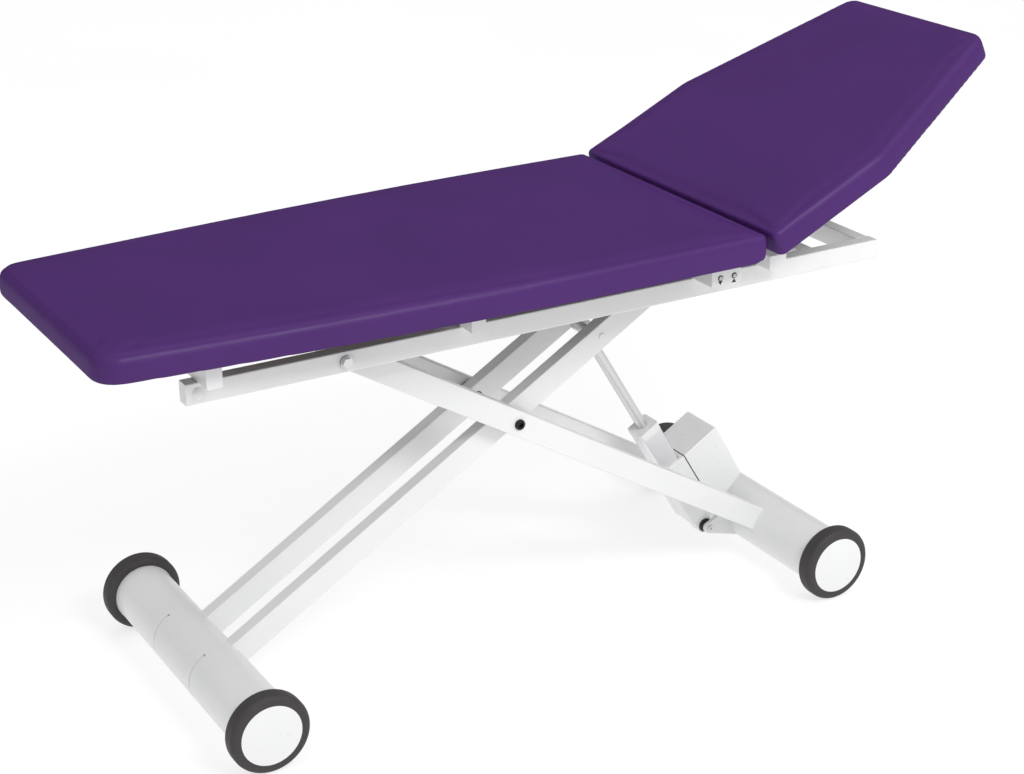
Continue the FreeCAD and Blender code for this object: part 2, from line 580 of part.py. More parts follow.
def act(s, p, y=0.0):
    return LOW_PIN + AXIS_S * s + AXIS_P * p + V(0, y, 0)


def act_prism(points, y0, y1):
    return prism_y([(act(s, p).x, act(s, p).z) for s, p in points], y0, y1)


def act_box(s0, s1, p0, p1, y0, y1):
    return act_prism([(s0, p0), (s1, p0), (s1, p1), (s0, p1)], y0, y1)


def act_cyl(s0, s1, p, r):
    return Part.makeCylinder(r, s1 - s0, act(s0, p), AXIS_S)


def act_cyl_p(p0, p1, s, r):
    return Part.makeCylinder(r, p1 - p0, act(s, p0), AXIS_P)


LUG_Y0 = 25.0
LUG_Y1 = 33.0
LUG_R = 12.0
CLEVIS_R = 5.0
CLEVIS_HEAD_R = 6.5
lug = ycyl(LOW_PIN.x, LOW_PIN.z, LUG_R, LUG_Y0, LUG_Y1)
lug_outline = [(LOW_PIN.x - 3, LOW_PIN.z - 11.6), (FOOT_X + 1238, 33), (FOOT_X + 1262, 60),
               (FOOT_X + 1228, 112), (LOW_PIN.x - 3, LOW_PIN.z + 11.6)]
lug = lug.fuse(prism_y(lug_outline, LUG_Y0, LUG_Y1))
lug = lug.cut(ycyl(HEAD_X, RING_R, TUBE_R, 0, 100)).cut(ycyl(LOW_PIN.x, LOW_PIN.z, CLEVIS_R, 0, 100))
save("actuator_lugs", pair(lug.removeSplitter()))
clevis_pin = ycyl(LOW_PIN.x, LOW_PIN.z, CLEVIS_R, -LUG_Y1, LUG_Y1)
clevis_pin = clevis_pin.fuse(ycyl(LOW_PIN.x, LOW_PIN.z, CLEVIS_HEAD_R, -LUG_Y1 - 4, -LUG_Y1))
clevis_pin = clevis_pin.fuse(ycyl(LOW_PIN.x, LOW_PIN.z, CLEVIS_HEAD_R, LUG_Y1, LUG_Y1 + 3)).removeSplitter()
clevis_pin = clevis_pin.cut(hexagon_y(LOW_PIN.x, LOW_PIN.z, 5.0, -LUG_Y1 - 5, -LUG_Y1 - 1.5))
save("actuator_clevis_pin", [clevis_pin])

CASE_Y = 34.0            # half width of the gear case
COVER_Y = 69.0           # far side of the motor cover, which is wider than the gear case
CASE_WALL = 2.5
CASE_P0 = -29.0
CASE_S1 = 200.0
SEAM_P = 33.0
SEAM_GAP = 0.8
TUBE_HALF = 25.0
REAR_EYE_R = 18.0
REAR_EYE_Y = 14.0
REAR_BUSH_R = 15.0
rear = ycyl(LOW_PIN.x, LOW_PIN.z, REAR_BUSH_R, -REAR_EYE_Y - 1.5, REAR_EYE_Y + 1.5)
rear = rear.cut(ycyl(LOW_PIN.x, LOW_PIN.z, CLEVIS_R + 0.05, -60, 60))
save("actuator_rear_bush", [rear])

case_outline = [(36, CASE_P0), (CASE_S1, CASE_P0), (CASE_S1, 127), (57.4, 125), (45.4, 79), (45.4, 11)]
case_inner = [(38.8, CASE_P0 + CASE_WALL), (CASE_S1 - CASE_WALL, CASE_P0 + CASE_WALL),
              (CASE_S1 - CASE_WALL, 124.4), (59.4, 122.4), (47.9, 78.7), (47.9, 11)]


def case_shell(y_far):
    """Hollow moulding from the near side to y_far, with rounded edges."""
    outer = act_prism(case_outline, -CASE_Y, y_far)
    across = [e for e in outer.Edges if e.BoundBox.YLength > 1]
    outer = outer.makeFillet(5.0, across)
    flat_rims = [e for e in outer.Edges if e.BoundBox.YLength < 0.01]
    outer = outer.makeFillet(2.5, flat_rims)
    outer = outer.cut(act_prism(case_inner, -CASE_Y + CASE_WALL, y_far - CASE_WALL))
    free = TUBE_HALF + 0.3
    entry = act_box(CASE_S1 - 6, CASE_S1 + 4, -free, free, -free, free)
    return outer.cut(entry)


half_low = act_box(0, 230, -80, SEAM_P, -60, 60)
half_high = act_box(0, 230, SEAM_P + SEAM_GAP, 180, -60, 100)
BEARING_R = 19.0
SPINDLE_R = 6.5
inner_y = CASE_Y - CASE_WALL
web = act_box(82, 98, CASE_P0 + CASE_WALL, 27, -inner_y, inner_y)
web = web.cut(act_cyl(80, 100, 0, BEARING_R))
eye = ycyl(LOW_PIN.x, LOW_PIN.z, REAR_EYE_R, -REAR_EYE_Y, REAR_EYE_Y)
eye = eye.fuse(act_box(0, 52, -REAR_EYE_R, REAR_EYE_R, -REAR_EYE_Y, REAR_EYE_Y))
gear_case = case_shell(CASE_Y).common(half_low).fuse(web).fuse(eye)
gear_case = gear_case.cut(ycyl(LOW_PIN.x, LOW_PIN.z, REAR_BUSH_R, -60, 60))
save("actuator_gear_case", [gear_case.removeSplitter()])
GLAND_S = 90.0
GLAND_BORE_R = 4.0
motor_cover = case_shell(COVER_Y).common(half_high)
motor_cover = motor_cover.cut(act_cyl_p(110, 140, GLAND_S, 8.0))
save("actuator_motor_cover", [motor_cover])
gland = act_cyl_p(112, 128, GLAND_S, 8.0).fuse(act_cyl_p(124, 131, GLAND_S, 11.0))
gland = gland.cut(motor_cover).cut(act_cyl_p(105, 140, GLAND_S, GLAND_BORE_R))
save("actuator_cable_gland", [gland])

bearing = act_cyl(84, 97, 0, BEARING_R)
save("spindle_bearing", [bearing.cut(act_cyl(80, 100, 0, SPINDLE_R + 0.05))])

TUBE_S0 = 123.0
TUBE_S1 = 291.0
HEAD_S1 = 309.0
ROD_R = 11.0
ROD_BORE = 8.0
BORE_R = 17.0


def square_along(s0, s1, half, corner):
    solid = act_box(s0, s1, -half, half, -half, half)
    length = s1 - s0
    along = [e for e in solid.Edges if abs(e.Length - length) < 0.01]
    return solid.makeFillet(corner, along)


profile = square_along(TUBE_S0, TUBE_S1, TUBE_HALF, 6.0).cut(act_cyl(TUBE_S0 - 1, TUBE_S1 + 1, 0, BORE_R))
save("actuator_tube", [profile])
head_block = square_along(TUBE_S1, HEAD_S1, TUBE_HALF + 0.6, 6.5)
save("actuator_head_block", [head_block.cut(act_cyl(TUBE_S1 - 1, HEAD_S1 + 1, 0, ROD_R + 0.05))])
rod = act_cyl(262, REACH - 10, 0, ROD_R).cut(act_cyl(261, REACH - 60, 0, ROD_BORE))
rod = rod.cut(ycyl(TOP_PIN.x, TOP_PIN.z, 16.0, -30, 30))
eye = ycyl(TOP_PIN.x, TOP_PIN.z, 16.0, -15, 15)
save("actuator_rod", [rod.fuse(eye).cut(ycyl(TOP_PIN.x, TOP_PIN.z, 6.0, -30, 30)).removeSplitter()])
rod_pin = ycyl(TOP_PIN.x, TOP_PIN.z, 6.0, -INNER_LEG_Y + 0.6, INNER_LEG_Y - 0.6)
save("rod_pin", [rod_pin])
plug = ycyl(TOP_PIN.x, TOP_PIN.z, 7.0, inner_out, inner_out + 2.5)
rim = [e for e in plug.Edges if len(e.Vertexes) == 1 and e.BoundBox.YMin > inner_out + 2]
save("rod_pin_plugs", pair(plug.makeFillet(1.2, rim)))
nut = act_cyl(238, 262, 0, BORE_R - 0.1).cut(act_cyl(230, 265, 0, SPINDLE_R + 0.1))
save("spindle_nut", [nut])
spindle = act_cyl(62, 288, 0, SPINDLE_R)
save("spindle", [spindle])


def gear(teeth, module, s0, s1, p, bore, turn):
    """Spur gear with 20 degree involute flanks about an axis parallel to s."""
    pitch = teeth * module / 2
    base = pitch * math.cos(math.radians(20))
    tip = pitch + module * 0.95
    root = pitch - module * 1.25
    backlash = 0.12
    half_pitch = (math.pi * module / 2 - backlash) / (2 * pitch)
    inv20 = math.tan(math.radians(20)) - math.radians(20)
    flank = []
    low = max(base, root)
    for i in range(6):
        r = low + (tip - low) * i / 5
        pressure = math.acos(min(1.0, base / r))
        flank.append((r, half_pitch + inv20 - (math.tan(pressure) - pressure)))
    points = []
    for k in range(teeth):
        c = turn + 2 * math.pi * k / teeth
        if root < low:
            points.append((root, c - flank[0][1]))
        points += [(r, c - a) for r, a in flank]
        points += [(r, c + a) for r, a in reversed(flank)]
        if root < low:
            points.append((root, c + flank[0][1]))
    corners = [act(s0, p + r * math.cos(a), r * math.sin(a)) for r, a in points]
    wire = Part.makePolygon(corners + corners[:1])
    body = Part.Face(wire).extrude(AXIS_S * (s1 - s0))
    return body.cut(act_cyl(s0 - 1, s1 + 1, p, bore))


GEAR_MODULE = 1.5
GEAR_TEETH = 33
PINION_TEETH = 31
MOTOR_P = GEAR_MODULE * (GEAR_TEETH + PINION_TEETH) / 2
save("spindle_gear", [gear(GEAR_TEETH, GEAR_MODULE, 104, 114, 0, SPINDLE_R, 0.0)])
pinion_turn = math.pi + math.pi / PINION_TEETH
pinion = gear(PINION_TEETH, GEAR_MODULE, 104, 114, MOTOR_P, 3.0, pinion_turn)
save("motor_pinion", [pinion.fuse(act_cyl(101, 121.6, MOTOR_P, 4.0)).removeSplitter()])
MOTOR_R = 22.0
motor = act_cyl(122, 190, MOTOR_P, MOTOR_R).fuse(act_cyl(190, 196, MOTOR_P, 10.0))
motor = motor.fuse(act_box(122, 126, MOTOR_P - MOTOR_R + 0.5, MOTOR_P + 26, -inner_y, inner_y))
save("gearmotor", [motor.removeSplitter()])
pcb = act_box(126, 186, 103, 104.6, -inner_y, COVER_Y - CASE_WALL)
pcb = pcb.fuse(act_box(132, 150, 104.6, 116, -22, 2)).fuse(act_box(158, 178, 104.6, 114, 14, 40))
save("control_board", [pcb.removeSplitter()])
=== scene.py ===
import json
import math
import bmesh
import bpy
from mathutils import Matrix, Vector, kdtree


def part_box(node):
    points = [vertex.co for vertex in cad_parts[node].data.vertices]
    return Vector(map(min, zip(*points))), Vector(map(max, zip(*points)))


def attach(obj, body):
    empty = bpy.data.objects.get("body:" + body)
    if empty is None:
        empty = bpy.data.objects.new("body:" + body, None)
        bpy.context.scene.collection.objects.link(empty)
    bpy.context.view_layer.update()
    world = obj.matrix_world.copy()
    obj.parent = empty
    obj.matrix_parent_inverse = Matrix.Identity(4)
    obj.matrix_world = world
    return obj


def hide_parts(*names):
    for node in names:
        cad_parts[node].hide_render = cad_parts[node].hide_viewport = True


# Looks of the examination couch.  Metres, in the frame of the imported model:
# +X runs to the head end, -Y is the side with the switches, the floor is Z = 0.

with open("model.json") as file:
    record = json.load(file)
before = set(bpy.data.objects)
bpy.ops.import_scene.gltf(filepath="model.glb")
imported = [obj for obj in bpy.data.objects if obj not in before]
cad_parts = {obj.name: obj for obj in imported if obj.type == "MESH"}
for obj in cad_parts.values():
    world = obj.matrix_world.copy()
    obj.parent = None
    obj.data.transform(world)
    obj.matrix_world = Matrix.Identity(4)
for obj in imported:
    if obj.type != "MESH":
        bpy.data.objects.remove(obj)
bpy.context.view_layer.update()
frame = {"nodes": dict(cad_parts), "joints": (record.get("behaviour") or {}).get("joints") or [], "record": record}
NODES = frame["nodes"]

# ---------------------------------------------------------------- camera, light and floor
CAMERA_AT = (-1.9455, -3.2703, 2.0600)
CAMERA_PAN = 30.31          # degrees clockwise from +Y, seen from above
CAMERA_DOWN = 22.57
CAMERA_ROLL = 0.26
LENS = 72.64

camera = bpy.data.objects.new("camera", bpy.data.cameras.new("camera"))
camera.data.lens = LENS
camera.data.sensor_width = 36.0
camera.data.clip_start = 0.1
camera.data.clip_end = 200.0
turn = (Matrix.Rotation(math.radians(-CAMERA_PAN), 4, "Z")
        @ Matrix.Rotation(math.radians(90.0 - CAMERA_DOWN), 4, "X")
        @ Matrix.Rotation(math.radians(-CAMERA_ROLL), 4, "Z"))
camera.matrix_world = Matrix.Translation(CAMERA_AT) @ turn
bpy.context.collection.objects.link(camera)
bpy.context.scene.camera = camera
bpy.context.scene.view_settings.view_transform = "Standard"


def softbox(name, at, target, size, power):
    light = bpy.data.objects.new(name, bpy.data.lights.new(name, "AREA"))
    light.data.shape = "RECTANGLE"
    light.data.size = size[0]
    light.data.size_y = size[1]
    light.data.energy = power
    aim = (Vector(target) - Vector(at)).to_track_quat("-Z", "Y")
    light.matrix_world = Matrix.Translation(at) @ aim.to_matrix().to_4x4()
    bpy.context.collection.objects.link(light)


softbox("light_head", (2.8, -1.6, 2.6), (0.4, 0.0, 0.7), (1.8, 1.8), 5)
softbox("light_front", (0.4, -3.4, 3.7), (0.0, 0.0, 0.6), (1.6, 1.2), 88)

# A white studio: bright above and on the side of the switches, dim behind the couch.
BRIGHT_SIDE = (-0.05, -0.38, 0.92)
FADE_FROM = -0.35           # how far along BRIGHT_SIDE the studio starts and stops getting brighter
FADE_TO = 0.75
DIM = 0.15
BRIGHT = 0.90
world = bpy.data.worlds.new("studio")
world.use_nodes = True
world_nodes = world.node_tree.nodes
background = world_nodes["Background"]
direction = world_nodes.new("ShaderNodeTexCoord").outputs["Generated"]
along = world_nodes.new("ShaderNodeVectorMath")
along.operation = "DOT_PRODUCT"
along.inputs[1].default_value = BRIGHT_SIDE
fade = world_nodes.new("ShaderNodeMapRange")
for key, number in (("From Min", FADE_FROM), ("From Max", FADE_TO),
                    ("To Min", DIM), ("To Max", BRIGHT)):
    fade.inputs[key].default_value = number
world.node_tree.links.new(direction, along.inputs[0])
world.node_tree.links.new(along.outputs["Value"], fade.inputs["Value"])
world.node_tree.links.new(fade.outputs["Result"], background.inputs["Strength"])
background.inputs["Color"].default_value = (1.0, 1.0, 1.0, 1.0)
bpy.context.scene.world = world


# ---------------------------------------------------------------- material building
class Look:
    """A procedural material.  Coordinates are metres on the piece itself."""

    def __init__(self, name):
        self.material = bpy.data.materials.new(name)
        self.material.use_nodes = True
        self.tree = self.material.node_tree
        self.shader = self.tree.nodes["Principled BSDF"]
        self.place = self.add("ShaderNodeTexCoord").outputs["Object"]

    def add(self, kind, settings=None, **values):
        node = self.tree.nodes.new(kind)
        for key, value in (settings or {}).items():
            setattr(node, key, value)
        for key, value in values.items():
            self.put(node.inputs[key.replace("_", " ")], value)
        return node

    def put(self, socket, value):
        if isinstance(value, bpy.types.NodeSocket):
            self.tree.links.new(value, socket)
        else:
            socket.default_value = value

    def set(self, **values):
        for key, value in values.items():
            self.put(self.shader.inputs[key.replace("_", " ")], value)

    def stretch(self, x, y, z, turn=(0.0, 0.0, 0.0)):
        node = self.add("ShaderNodeMapping", Vector=self.place)
        node.inputs["Scale"].default_value = (x, y, z)
        node.inputs["Rotation"].default_value = turn
        return node.outputs["Vector"]

    def grain(self, scale, detail=3.0, rough=0.55, vector=None):
        node = self.add("ShaderNodeTexNoise", Vector=vector or self.place,
                        Scale=scale, Detail=detail, Roughness=rough)
        return node.outputs["Fac"]

    def cells(self, scale, feature):
        node = self.add("ShaderNodeTexVoronoi", {"feature": feature},
                        Vector=self.place, Scale=scale, Randomness=1.0)
        return node.outputs["Distance"]

    def span(self, value, low, high, to_low=0.0, to_high=1.0):
        node = self.add("ShaderNodeMapRange", Value=value)
        for key, number in (("From Min", low), ("From Max", high),
                            ("To Min", to_low), ("To Max", to_high)):
            node.inputs[key].default_value = number
        return node.outputs["Result"]

    def maths(self, operation, a, b):
        node = self.add("ShaderNodeMath", {"operation": operation})
        self.put(node.inputs[0], a)
        self.put(node.inputs[1], b)
        return node.outputs["Value"]

    def blend(self, factor, low, high):
        node = self.add("ShaderNodeMix", {"data_type": "RGBA"})
        self.put(node.inputs["Factor"], factor)
        for key, colour in (("A", low), ("B", high)):
            socket = next(s for s in node.inputs if s.name == key and s.type == "RGBA")
            linked = isinstance(colour, bpy.types.NodeSocket)
            self.put(socket, colour if linked else (*colour, 1.0))
        return next(s for s in node.outputs if s.type == "RGBA")

    def bump(self, height, strength, distance, below=None):
        node = self.add("ShaderNodeBump", Strength=strength, Distance=distance, Height=height)
        if below is not None:
            self.put(node.inputs["Normal"], below)
        return node.outputs["Normal"]


def satin_skin(name, colour, shade, roughness):
    """Baked paint or smooth plastic: fine orange peel, faint cloudiness and a few dull scuffs."""
    look = Look(name)
    cloud = look.span(look.grain(3.2, 4.0), 0.35, 0.68)
    scuff = look.span(look.grain(38.0, 7.0, 0.62), 0.63, 0.76)
    base = look.blend(cloud, colour, shade)
    dull = tuple(c * 0.93 for c in shade)
    look.set(Base_Color=look.blend(look.maths("MULTIPLY", scuff, 0.45), base, dull))
    shine = look.span(look.grain(60.0, 4.0), 0.3, 0.7, roughness - 0.04, roughness + 0.07)
    look.set(Roughness=look.maths("ADD", shine, look.maths("MULTIPLY", scuff, 0.10)))
    look.set(Specular_IOR_Level=0.5, Coat_Weight=0.12, Coat_Roughness=0.22)
    peel = look.bump(look.grain(620.0, 2.0), 0.10, 0.0002)
    waves = look.bump(look.grain(26.0, 2.0), 0.06, 0.0006, peel)
    look.set(Normal=waves)
    return look.material


def vinyl(name, colour, deep):
    """Upholstery vinyl: leather-like pebble grain, cloudy gloss and soft creases in the skin."""
    look = Look(name)
    patch = look.span(look.grain(5.0, 3.0), 0.3, 0.7)
    pebble = look.cells(820.0, "SMOOTH_F1")
    pore = look.span(look.cells(820.0, "DISTANCE_TO_EDGE"), 0.0, 0.16)
    base = look.blend(patch, colour, deep)
    in_pore = look.span(pore, 0.0, 1.0, 0.16, 0.0)
    look.set(Base_Color=look.blend(in_pore, base, tuple(c * 0.6 for c in deep)))
    look.set(Roughness=look.span(look.grain(14.0, 5.0), 0.3, 0.7, 0.36, 0.46))
    look.set(Specular_IOR_Level=0.0, Coat_Weight=0.22, Coat_IOR=1.8,
             Coat_Roughness=look.span(look.grain(14.0, 5.0), 0.3, 0.7, 0.40, 0.48))
    skin = look.bump(pebble, 0.20, 0.00018)
    fine = look.bump(look.grain(2400.0, 2.0), 0.08, 0.00006, skin)
    look.set(Normal=look.bump(look.grain(9.0, 3.0), 0.10, 0.0016, fine))
    return look.material


def moulded(name, colour, roughness):
    """Injection-moulded plastic with a fine spark-eroded texture."""
    look = Look(name)
    lighter = tuple(c * 1.05 for c in colour)
    darker = tuple(c * 0.95 for c in colour)
    look.set(Base_Color=look.blend(look.span(look.grain(4.0, 2.0), 0.3, 0.7), darker, lighter))
    spots = look.grain(85.0, 4.0)
    look.set(Roughness=look.span(spots, 0.3, 0.7, roughness - 0.02, roughness + 0.03))
    look.set(Normal=look.bump(look.grain(420.0, 2.0), 0.06, 0.00005))
    return look.material


def rubber(name, colour, dusty):
    """Dark moulded rubber with floor dust rubbed into its pores."""
    look = Look(name)
    dust = look.span(look.grain(22.0, 8.0, 0.66), 0.50, 0.74)
    speck = look.span(look.grain(420.0, 3.0), 0.52, 0.70)
    amount = look.maths("ADD", look.maths("MULTIPLY", dust, 0.45),
                        look.maths("MULTIPLY", speck, 0.16))
    look.set(Base_Color=look.blend(amount, colour, dusty))
    look.set(Roughness=look.span(dust, 0.0, 1.0, 0.58, 0.82), Specular_IOR_Level=0.35)
    pores = look.bump(look.grain(760.0, 4.0), 0.45, 0.00016)
    look.set(Normal=look.bump(look.grain(48.0, 3.0), 0.10, 0.0006, pores))
    return look.material


def metal(name, colour, roughness, stretch, turn=(0.0, 0.0, 0.0)):
    """Bare metal with lines of drawing or grinding along the long axis of the stretch."""
    look = Look(name)
    along = look.stretch(*stretch, turn)
    lines = look.grain(1.0, 5.0, 0.6, along)
    stain = look.span(look.grain(16.0, 5.0), 0.35, 0.7)
    base = look.blend(look.span(lines, 0.3, 0.7), tuple(c * 0.95 for c in colour), colour)
    stained = tuple(c * 0.85 for c in colour)
    look.set(Base_Color=look.blend(look.maths("MULTIPLY", stain, 0.15), base, stained))
    look.set(Metallic=1.0, Roughness=look.span(lines, 0.3, 0.7, roughness - 0.03, roughness + 0.05))
    look.set(Normal=look.bump(lines, 0.15, 0.00003))
    return look.material


def plywood(name, light, dark):
    """Film-faced board: the long grain shows faintly through the dark film."""
    look = Look(name)
    warp = look.stretch(2.2, 26.0, 26.0)
    figure = look.grain(1.6, 6.0, 0.6, warp)
    pores = look.grain(1.0, 3.0, 0.5, look.stretch(60.0, 900.0, 900.0))
    base = look.blend(look.span(figure, 0.35, 0.65), dark, light)
    in_pore = look.span(pores, 0.58, 0.72, 0.0, 0.5)
    look.set(Base_Color=look.blend(in_pore, base, tuple(c * 0.6 for c in dark)))
    look.set(Roughness=look.span(figure, 0.3, 0.7, 0.55, 0.68))
    look.set(Normal=look.bump(pores, 0.25, 0.0001))
    return look.material


def circuit_board(name):
    """Green lacquer with slightly darker tracks under it."""
    look = Look(name)
    tracks = look.span(look.cells(260.0, "DISTANCE_TO_EDGE"), 0.05, 0.10)
    look.set(Base_Color=look.blend(tracks, (0.012, 0.10, 0.03), (0.01, 0.055, 0.02)))
    look.set(Roughness=look.span(tracks, 0.0, 1.0, 0.30, 0.42))
    look.set(Normal=look.bump(tracks, 0.3, 0.00004))
    return look.material


WHITE = (0.80, 0.80, 0.80)
WHITE_SHADE = (0.755, 0.76, 0.762)
PURPLE = (0.066, 0.017, 0.140)
PURPLE_DEEP = (0.058, 0.015, 0.124)
ROD_LEAN = math.radians(31.07)      # the drawn lines run along the leaning actuator tube
LOOKS = {
    "white_paint": satin_skin("paint_white", WHITE, WHITE_SHADE, 0.36),
    "purple_vinyl": vinyl("vinyl_purple", PURPLE, PURPLE_DEEP),
    "film_plywood": plywood("film_board", (0.060, 0.042, 0.033), (0.034, 0.024, 0.019)),
    "grey_rubber": rubber("rubber_dark", (0.042, 0.037, 0.039), (0.085, 0.078, 0.079)),
    "white_plastic": satin_skin("plastic_white", (0.78, 0.785, 0.785), (0.765, 0.77, 0.77), 0.30),
    "nylon": moulded("nylon_grey", (0.62, 0.61, 0.58), 0.42),
    "steel": metal("steel_turned", (0.70, 0.70, 0.70), 0.34, (320.0, 320.0, 320.0)),
    "aluminium": metal("aluminium_drawn", (0.84, 0.84, 0.86), 0.40, (420.0, 420.0, 10.0),
                       (0.0, ROD_LEAN, 0.0)),
    "black_steel": metal("steel_blackened", (0.035, 0.035, 0.038), 0.42, (400.0, 400.0, 400.0)),
    "black_plastic": moulded("plastic_black", (0.022, 0.022, 0.024), 0.45),
    "bronze": metal("bronze_sintered", (0.45, 0.30, 0.14), 0.45, (300.0, 300.0, 300.0)),
    "circuit_board": circuit_board("board_green"),
}
for part in frame["record"]["subparts"]:
    for slot in NODES[part["node"]].material_slots:
        slot.material = LOOKS[part["material_slot"]]

# ---------------------------------------------------------------- floor
FLOOR = 40.0
FLOOR_GLOW = 0.70           # lifts the floor to the photograph's white
floor_mesh = bpy.data.meshes.new("floor")
floor_corners = [(-FLOOR, -FLOOR, 0), (FLOOR, -FLOOR, 0), (FLOOR, FLOOR, 0), (-FLOOR, FLOOR, 0)]
floor_mesh.from_pydata(floor_corners, [], [(0, 1, 2, 3)])
floor = bpy.data.objects.new("floor", floor_mesh)
bpy.context.collection.objects.link(floor)
floor_look = Look("floor_pale")
floor_cloud = floor_look.grain(0.8, 3.0)
floor_look.set(Base_Color=floor_look.blend(floor_cloud, (0.34, 0.34, 0.34), (0.38, 0.38, 0.38)))
floor_look.set(Roughness=0.9, Specular_IOR_Level=0.1,
               Emission_Color=(1.0, 1.0, 1.0, 1.0), Emission_Strength=FLOOR_GLOW)
floor_mesh.materials.append(floor_look.material)


# ---------------------------------------------------------------- mesh building
def new_piece(name, mesh):
    """Turns a finished bmesh into an object in the scene."""
    bmesh.ops.recalc_face_normals(mesh, faces=mesh.faces)
    data = bpy.data.meshes.new(name)
    mesh.to_mesh(data)
    mesh.free()
    piece = bpy.data.objects.new(name, data)
    bpy.context.collection.objects.link(piece)
    return piece


# ---------------------------------------------------------------- upholstery
def rounded_plan(corners, radii, step):
    """Closed plan outline through the corners, each rounded by its own radius."""
    points = []
    count = len(corners)
    for i in range(count):
        p = Vector(corners[i])
        a = (Vector(corners[i - 1]) - p).normalized()
        b = (Vector(corners[(i + 1) % count]) - p).normalized()
        half = a.angle(b) / 2
        radius = radii[i]
        centre = p + (a + b).normalized() * (radius / math.sin(half))
        start = p + a * (radius / math.tan(half)) - centre
        sweep = math.pi - 2 * half
        turns = max(2, round(radius * sweep / step))
        sign = 1 if a.cross(b) < 0 else -1
        for k in range(turns + 1):
            t = sign * sweep * k / turns
            points.append((centre.x + start.x * math.cos(t) - start.y * math.sin(t),
                           centre.y + start.x * math.sin(t) + start.y * math.cos(t)))
    return points


def slab(name, plan, z0, z1):
    """Closed slab with sharp edges."""
    mesh = bmesh.new()
    ring = [mesh.verts.new((x, y, z0)) for x, y in plan]
    base = mesh.faces.new(ring)
    raised = bmesh.ops.extrude_face_region(mesh, geom=[base])
    for item in raised["geom"]:
        if isinstance(item, bmesh.types.BMVert):
            item.co.z = z1
    return new_piece(name, mesh)


class Outline:
    """The plan as a dense line that knows the way inwards at each of its points."""

    def __init__(self, plan, step=0.002):
        line = []
        for i, a in enumerate(plan):
            a = Vector(a)
            b = Vector(plan[(i + 1) % len(plan)])
            count = max(1, round((b - a).length / step))
            line += [a.lerp(b, k / count) for k in range(count)]
        self.tree = kdtree.KDTree(len(line))
        self.inwards = []
        for i, point in enumerate(line):
            self.tree.insert((point.x, point.y, 0.0), i)
            t = (line[(i + 1) % len(line)] - line[i - 1]).normalized()
            self.inwards.append(Vector((-t.y, t.x)))
        self.tree.balance()

    def inset(self, co):
        """How far inside the plan a point lies, and the way inwards there."""
        near, index, _ = self.tree.find((co.x, co.y, 0.0))
        way = self.inwards[index]
        return (co.x - near.x) * way.x + (co.y - near.y) * way.y, way


def roll_edge(piece, outline, z, down, radius):
    """Rolls one edge of the slab over; radius(x) may change along the couch."""
    for v in piece.data.vertices:
        r = radius(v.co.x)
        deep = (z - v.co.z) * down
        if deep >= r:
            continue
        inset, way = outline.inset(v.co)
        u = r - inset
        w = r - deep
        reach = math.hypot(u, w)
        if u > 0 and w > 0 and reach > r:
            step = u - u * r / reach
            v.co.x += way.x * step
            v.co.y += way.y * step
            v.co.z -= (w - w * r / reach) * down


CREASE_INSET = 0.41         # where on the rolled edge the seam lies, in parts of its radius
CREASE_DEEP = 0.20
CREASE_WAY_IN = 0.59        # the direction that it is pressed in, square to the rolled edge there
CREASE_WAY_DOWN = 0.81


def crease(piece, outline, z, radius, depth, width):
    """Presses the seam between top and side panel into the rolled edge.

    depth(x) may change along the couch.
    """
    for v in piece.data.vertices:
        r = radius(v.co.x)
        if z - v.co.z > r:
            continue
        inset, way = outline.inset(v.co)
        if inset > r:
            continue
        away = math.hypot(inset - CREASE_INSET * r, z - v.co.z - CREASE_DEEP * r)
        press = depth(v.co.x) * math.exp(-0.5 * (away / width) ** 2)
        v.co.x += way.x * press * CREASE_WAY_IN
        v.co.y += way.y * press * CREASE_WAY_IN
        v.co.z -= press * CREASE_WAY_DOWN


def use_modifiers(piece):
    graph = bpy.context.evaluated_depsgraph_get()
    finished = bpy.data.meshes.new_from_object(piece.evaluated_get(graph))
    piece.modifiers.clear()
    old = piece.data
    piece.data = finished
    bpy.data.meshes.remove(old)


def remesh(piece, voxel):
    modifier = piece.modifiers.new("remesh", "REMESH")
    modifier.mode = "VOXEL"
    modifier.voxel_size = voxel
    use_modifiers(piece)


def even_out(piece, times):
    modifier = piece.modifiers.new("smooth", "SMOOTH")
    modifier.iterations = times
    modifier.factor = 0.5
    use_modifiers(piece)


STRETCH_STIFFNESS = 30.0    # tight vinyl: it hardly stretches and bends in wide curves
SHEAR_STIFFNESS = 12.0
BENDING_STIFFNESS = 8.0
CLOTH_FRAMES = 20


def puff(piece, held, pressure, cap):
    """Swells the closed cover like foam under tight vinyl.  Points where held is true stay put."""
    data = piece.data
    before = [(v.co.copy(), v.normal.copy()) for v in data.vertices]
    pins = piece.vertex_groups.new(name="held")
    pins.add([v.index for v in data.vertices if held(v.co)], 1.0, "REPLACE")
    cloth = piece.modifiers.new("cover", "CLOTH")
    cloth.settings.use_pressure = True
    cloth.settings.uniform_pressure_force = pressure
    cloth.settings.effector_weights.gravity = 0.0
    cloth.settings.tension_stiffness = STRETCH_STIFFNESS
    cloth.settings.compression_stiffness = STRETCH_STIFFNESS
    cloth.settings.shear_stiffness = SHEAR_STIFFNESS
    cloth.settings.bending_stiffness = BENDING_STIFFNESS
    cloth.settings.quality = 4
    cloth.settings.vertex_group_mass = "held"
    scene = bpy.context.scene
    for number in range(1, CLOTH_FRAMES + 1):
        scene.frame_set(number)
    use_modifiers(piece)
    for v, (start, normal) in zip(piece.data.vertices, before):
        move = v.co - start
        move -= normal * min(0.0, move.dot(normal))     # the foam keeps the cover from going in
        v.co = start + move * min(1.0, cap / max(move.length, cap))
    scene.frame_set(1)


VOXEL = 0.006
PRESSURE = 4.0
SWELL = 0.005
HELD_HEIGHT = 0.006         # this much of the cover is held to the board
CREASE_WIDTH = 0.0028


